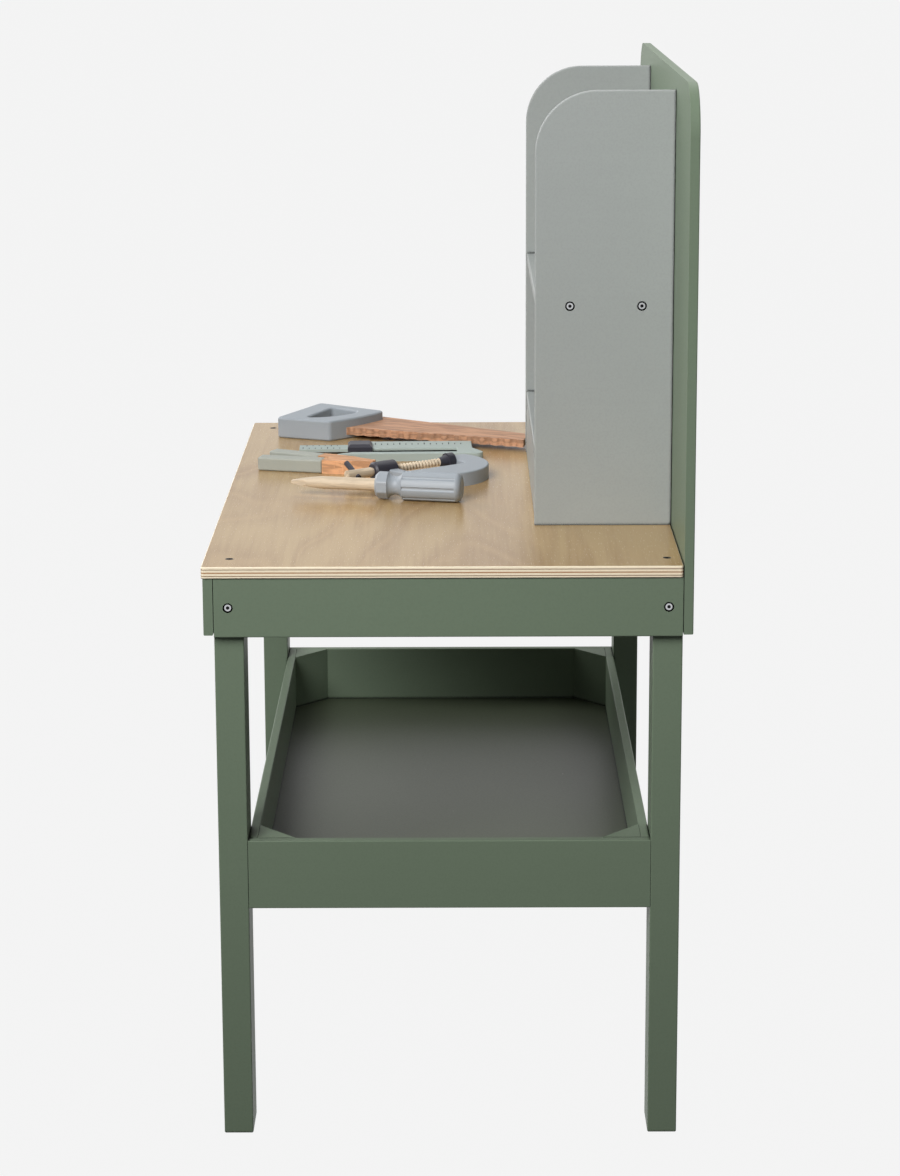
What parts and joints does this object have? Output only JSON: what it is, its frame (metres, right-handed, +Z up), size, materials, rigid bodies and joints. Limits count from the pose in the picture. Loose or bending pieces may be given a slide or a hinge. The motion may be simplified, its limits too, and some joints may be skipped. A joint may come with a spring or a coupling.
{
  "type": "toy workbench",
  "caption": "Child's wooden workbench with an under-tray and a back panel with shelves, and loose toy tools lying on its plywood top.",
  "frame": {"origin": "middle of the bench's outline on the floor, at the bottom of the legs", "axes": "+X along the bench to its right-hand end seen from the front, +Y from the front edge to the back panel, +Z up"},
  "size_m": [0.7, 0.459, 1.014],
  "materials": {
    "frame_green": "matt grey-green paint on board",
    "shelf_grey": "matt cool grey paint on board",
    "tray_panel": "dark matt paint on a thin panel",
    "top_ply": "clear satin varnish on birch-like plywood",
    "bolt_steel": "zinc-plated steel",
    "dowel_wood": "bare pale wood",
    "tool_blue": "satin grey-blue paint",
    "tool_green": "satin pale green-grey paint",
    "tool_dark": "satin dark grey paint",
    "blade_wood": "bare brown wood",
    "jaw_wood": "bare orange-brown wood"
  },
  "bodies": {
    "bench": {"apron_front": "frame_green", "back_panel": "frame_green", "leg_front_left": "frame_green", "leg_front_right": "frame_green", "leg_back_left": "frame_green", "leg_back_right": "frame_green", "apron_left": "frame_green", "apron_right": "frame_green", "tray_end_left": "frame_green", "tray_end_right": "frame_green", "tray_wall_front": "frame_green", "tray_wall_back": "frame_green", "tray_corner_blocks": "frame_green", "shelf_side_left": "shelf_grey", "shelf_side_right": "shelf_grey", "shelf_upper": "shelf_grey", "shelf_lower": "shelf_grey", "shelf_plinth": "shelf_grey", "tray_floor": "tray_panel", "tabletop": "top_ply", "apron_bolts": "bolt_steel", "front_apron_bolts": "bolt_steel", "back_panel_bolts": "bolt_steel", "tray_bolts": "bolt_steel", "shelf_bolts": "bolt_steel", "leg_inserts": "bolt_steel", "tray_inserts": "bolt_steel", "top_screws": "bolt_steel", "shelf_screws": "bolt_steel", "shelf_dowels": "dowel_wood"},
    "saw": {"saw_handle": "tool_blue", "saw_blade": "blade_wood"},
    "screwdriver": {"screwdriver_handle": "tool_blue", "screwdriver_shaft": "dowel_wood"},
    "pliers": {"pliers_jaw_far": "jaw_wood", "pliers_grip_far": "tool_green", "pliers_pin": "jaw_wood"},
    "pliers_near_arm": {"pliers_jaw_near": "jaw_wood", "pliers_grip_near": "tool_green"},
    "gauge": {"gauge_frame": "tool_green"},
    "gauge_slider": {"gauge_rule": "tool_green", "gauge_thumb": "tool_dark"},
    "clamp": {"clamp_frame": "tool_blue", "clamp_nut": "tool_dark"},
    "clamp_screw": {"clamp_spindle": "dowel_wood", "clamp_pad": "tool_dark", "clamp_tommy_bar": "tool_dark"}
  },
  "joints": [
    {"name": "saw_lift", "type": "slide", "parent": "bench", "child": "saw", "axis": [0, 0, 1], "range_m": [0, 0.15]},
    {"name": "screwdriver_lift", "type": "slide", "parent": "bench", "child": "screwdriver", "axis": [0, 0, 1], "range_m": [0, 0.15]},
    {"name": "pliers_lift", "type": "slide", "parent": "bench", "child": "pliers", "axis": [0, 0, 1], "range_m": [0, 0.15]},
    {"name": "gauge_lift", "type": "slide", "parent": "bench", "child": "gauge", "axis": [0, 0, 1], "range_m": [0, 0.15]},
    {"name": "clamp_lift", "type": "slide", "parent": "bench", "child": "clamp", "axis": [0, 0, 1], "range_m": [0, 0.15]},
    {"name": "pliers_pivot", "type": "hinge", "parent": "pliers", "child": "pliers_near_arm", "pos_m": [-0.0753, -0.1155, 0.57725], "axis": [0, 0, 1], "range_deg": [-2, 22]},
    {"name": "gauge_slide", "type": "slide", "parent": "gauge", "child": "gauge_slider", "axis": [-0.0262, 0.9997, 0], "range_m": [0, 0.08]},
    {"name": "clamp_slide", "type": "slide", "parent": "clamp", "child": "clamp_screw", "axis": [0.5664, -0.8241, 0], "range_m": [0, 0.04]}
  ]
}
